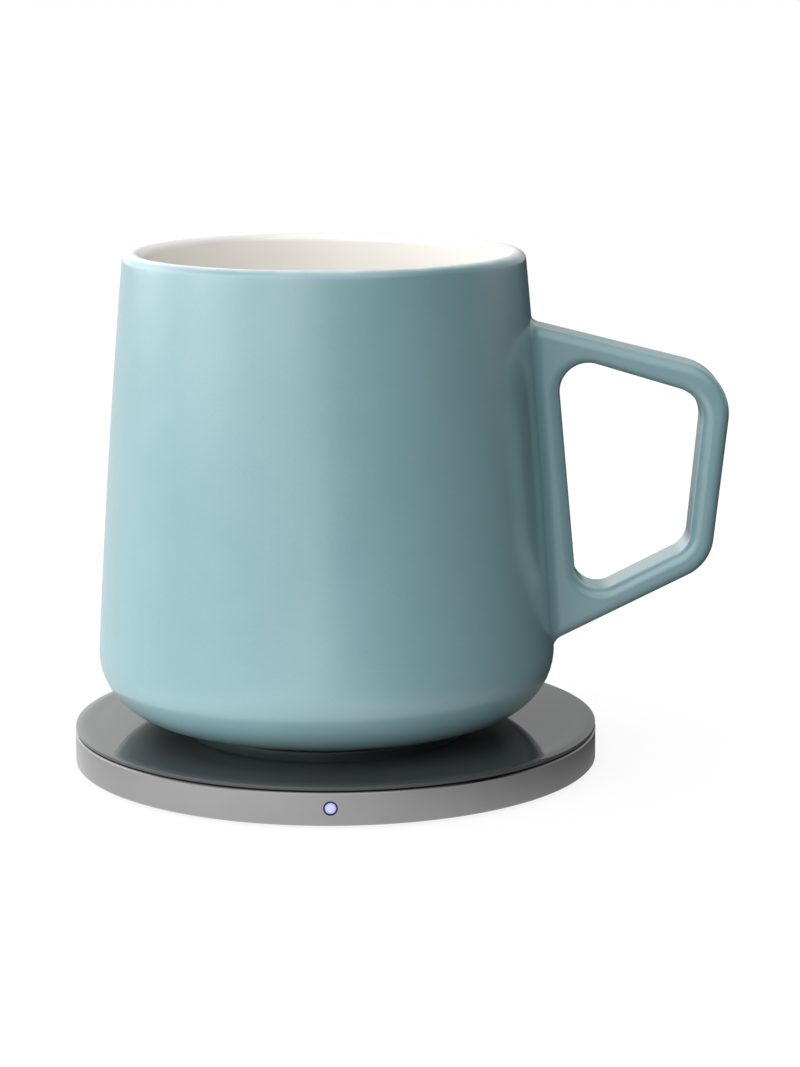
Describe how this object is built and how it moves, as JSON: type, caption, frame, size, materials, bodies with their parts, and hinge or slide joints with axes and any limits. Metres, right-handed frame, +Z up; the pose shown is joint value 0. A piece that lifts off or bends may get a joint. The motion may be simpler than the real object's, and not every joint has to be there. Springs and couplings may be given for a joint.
{
  "type": "electric mug warmer",
  "caption": "Slim round electric mug warmer with a satin metal ring, dark glass plate and lit rim button, with a tapered ceramic mug and strap handle standing on it.",
  "frame": {"origin": "centre of the warmer's flat underside, on the surface that it stands on", "axes": "+Z up through the plate; -Y towards the lit button at the front; +Y towards the power inlet; +X towards the mug's handle"},
  "size_m": [0.1306, 0.1051, 0.1028],
  "materials": {
    "foot_rubber": "matte",
    "black_plastic": "fine texture",
    "screw_steel": "plated",
    "satin_aluminium": "satin, fine turned",
    "seal_rubber": "matte",
    "dark_glass": "polished toughened glass, dark backed",
    "adhesive": "matte",
    "spreader_aluminium": "rolled",
    "amber_film": "smooth film",
    "track_metal": "etched",
    "insulation_felt": "needled felt",
    "clamp_steel": "rolled",
    "sensor_epoxy": "cast",
    "fuse_ceramic": "matte",
    "red_wire": "silicone sleeve",
    "white_wire": "silicone sleeve",
    "circuit_board": "solder mask",
    "chip_plastic": "moulded",
    "chip_ceramic": "fired",
    "inlet_steel": "drawn and plated",
    "contact_gold": "plated",
    "blue_bezel": "gloss",
    "lamp_white": "moulded",
    "lit_lens": "frosted light guide",
    "teal_glaze": "satin teal outside, gloss cream inside"
  },
  "bodies": {
    "warmer": {"base_pad": "foot_rubber", "base_cover": "black_plastic", "base_screws": "screw_steel", "housing_ring": "satin_aluminium", "plate_seal": "seal_rubber", "top_plate": "dark_glass", "plate_bond": "adhesive", "heat_spreader": "spreader_aluminium", "heater_film": "amber_film", "heater_track": "track_metal", "insulation_pad": "insulation_felt", "clamp_plate": "clamp_steel", "thermistor": "sensor_epoxy", "thermal_fuse": "fuse_ceramic", "heater_leads": "red_wire", "sensor_leads": "white_wire", "board_link": "white_wire", "main_board": "circuit_board", "microcontroller": "chip_plastic", "power_transistor": "chip_plastic", "board_capacitors": "chip_ceramic", "board_resistors": "chip_plastic", "board_screws": "screw_steel", "inlet_shell": "inlet_steel", "inlet_tongue": "black_plastic", "inlet_contacts": "contact_gold", "button_bezel": "blue_bezel", "switch_body": "chip_plastic", "status_led": "lamp_white", "button_board": "circuit_board"},
    "button": {"button_cap": "lit_lens", "switch_stem": "black_plastic"},
    "mug": {"mug_body": "teal_glaze", "mug_handle": "teal_glaze"}
  },
  "joints": [
    {"name": "button_press", "type": "slide", "parent": "warmer", "child": "button", "axis": [0, 1, 0], "range_m": [0, 0.0004], "stiffness_N_per_m": 400},
    {"name": "mug_lift", "type": "slide", "parent": "warmer", "child": "mug", "axis": [0, 0, 1], "range_m": [0, 0.12]}
  ]
}
